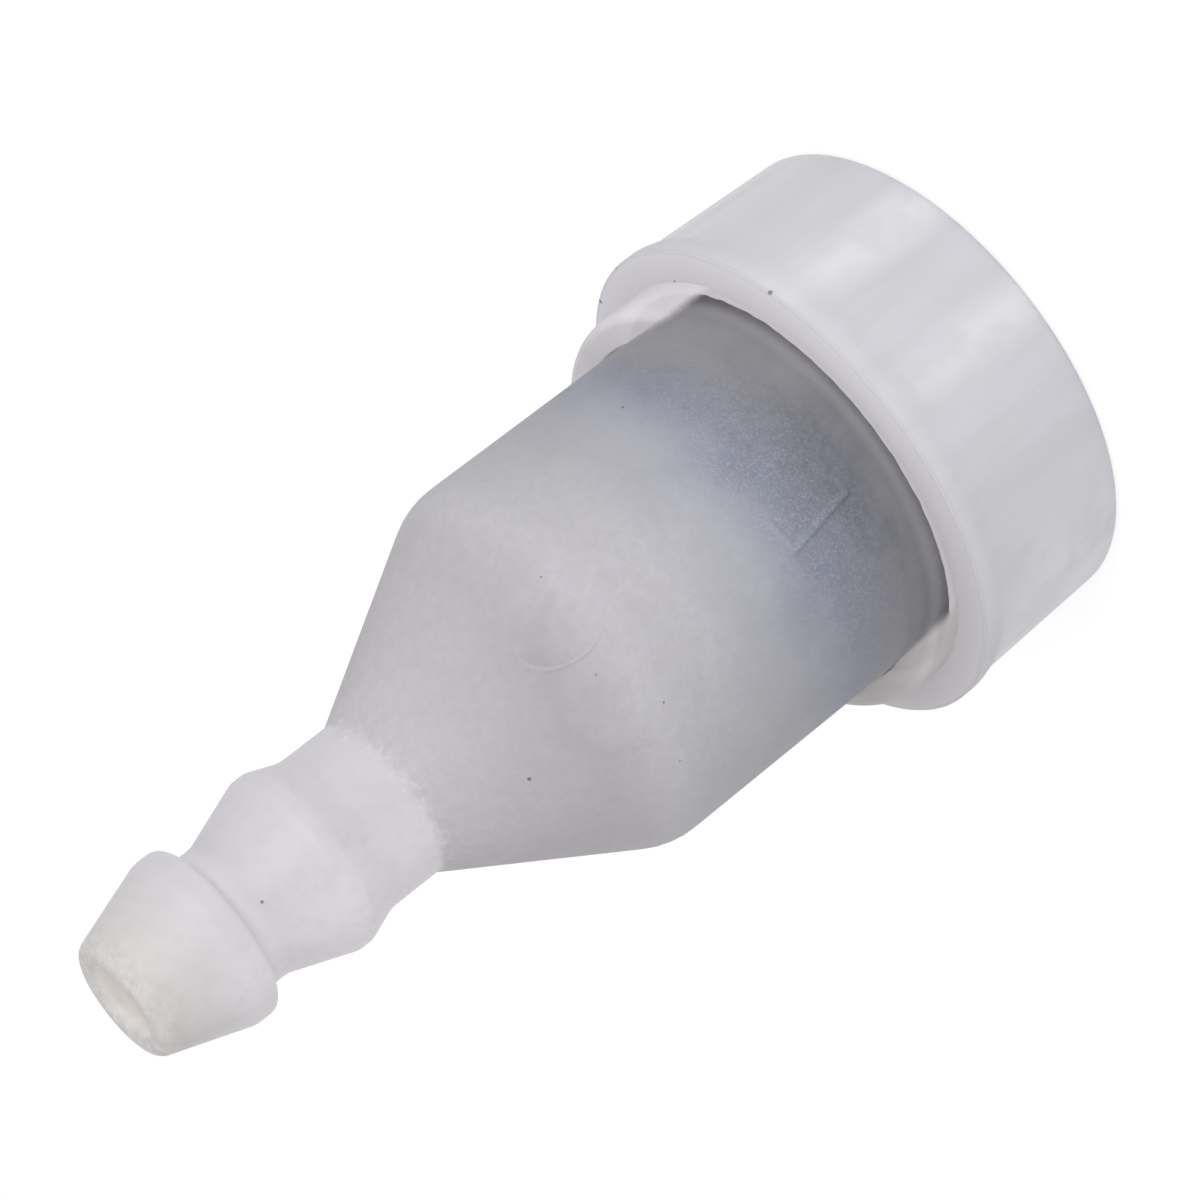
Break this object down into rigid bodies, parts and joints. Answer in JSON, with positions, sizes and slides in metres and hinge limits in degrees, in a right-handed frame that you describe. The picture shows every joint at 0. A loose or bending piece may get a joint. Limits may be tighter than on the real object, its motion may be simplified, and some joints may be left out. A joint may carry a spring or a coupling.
{
  "type": "non-return valve",
  "caption": "In-line non-return valve in milky plastic: barbed hose tail, conical shoulder, round chamber and wide inlet collar, with a sprung poppet inside.",
  "frame": {"origin": "middle of the collar's inlet face, on which the valve stands", "axes": "+Z along the valve's axis in the direction of flow, from the inlet collar to the tip of the hose tail; -Y faces the side with the moulded mark and the round gate dimple"},
  "size_m": [0.0318, 0.0318, 0.0614],
  "materials": {
    "milky_body": "frosted milky polypropylene, a little translucent, with small dark specks",
    "milky_collar": "smooth milky plastic with a soft shine and fine lines along the axis",
    "clear_ring": "see-through milky plastic with a smooth shine, through which the chamber shows dark",
    "milky_plate": "plain milky plastic",
    "white_plastic": "plain white acetal",
    "black_rubber": "plain black nitrile rubber",
    "spring_steel": "bright stainless spring steel"
  },
  "bodies": {
    "housing": {"valve_body": "milky_body", "inlet_collar": "milky_collar", "retaining_ring": "clear_ring", "seat_plate": "milky_plate", "body_gasket": "black_rubber", "inlet_washer": "black_rubber", "spring_guide": "white_plastic", "return_spring": "spring_steel"},
    "closing_member": {"poppet": "white_plastic", "poppet_seal": "black_rubber", "seal_clip": "spring_steel"}
  },
  "joints": [
    {"name": "poppet_lift", "type": "slide", "parent": "housing", "child": "closing_member", "axis": [0, 0, 1], "range_m": [0, 0.0035], "stiffness_N_per_m": 150, "springref_m": -0.004, "deforming": ["return_spring"]}
  ]
}
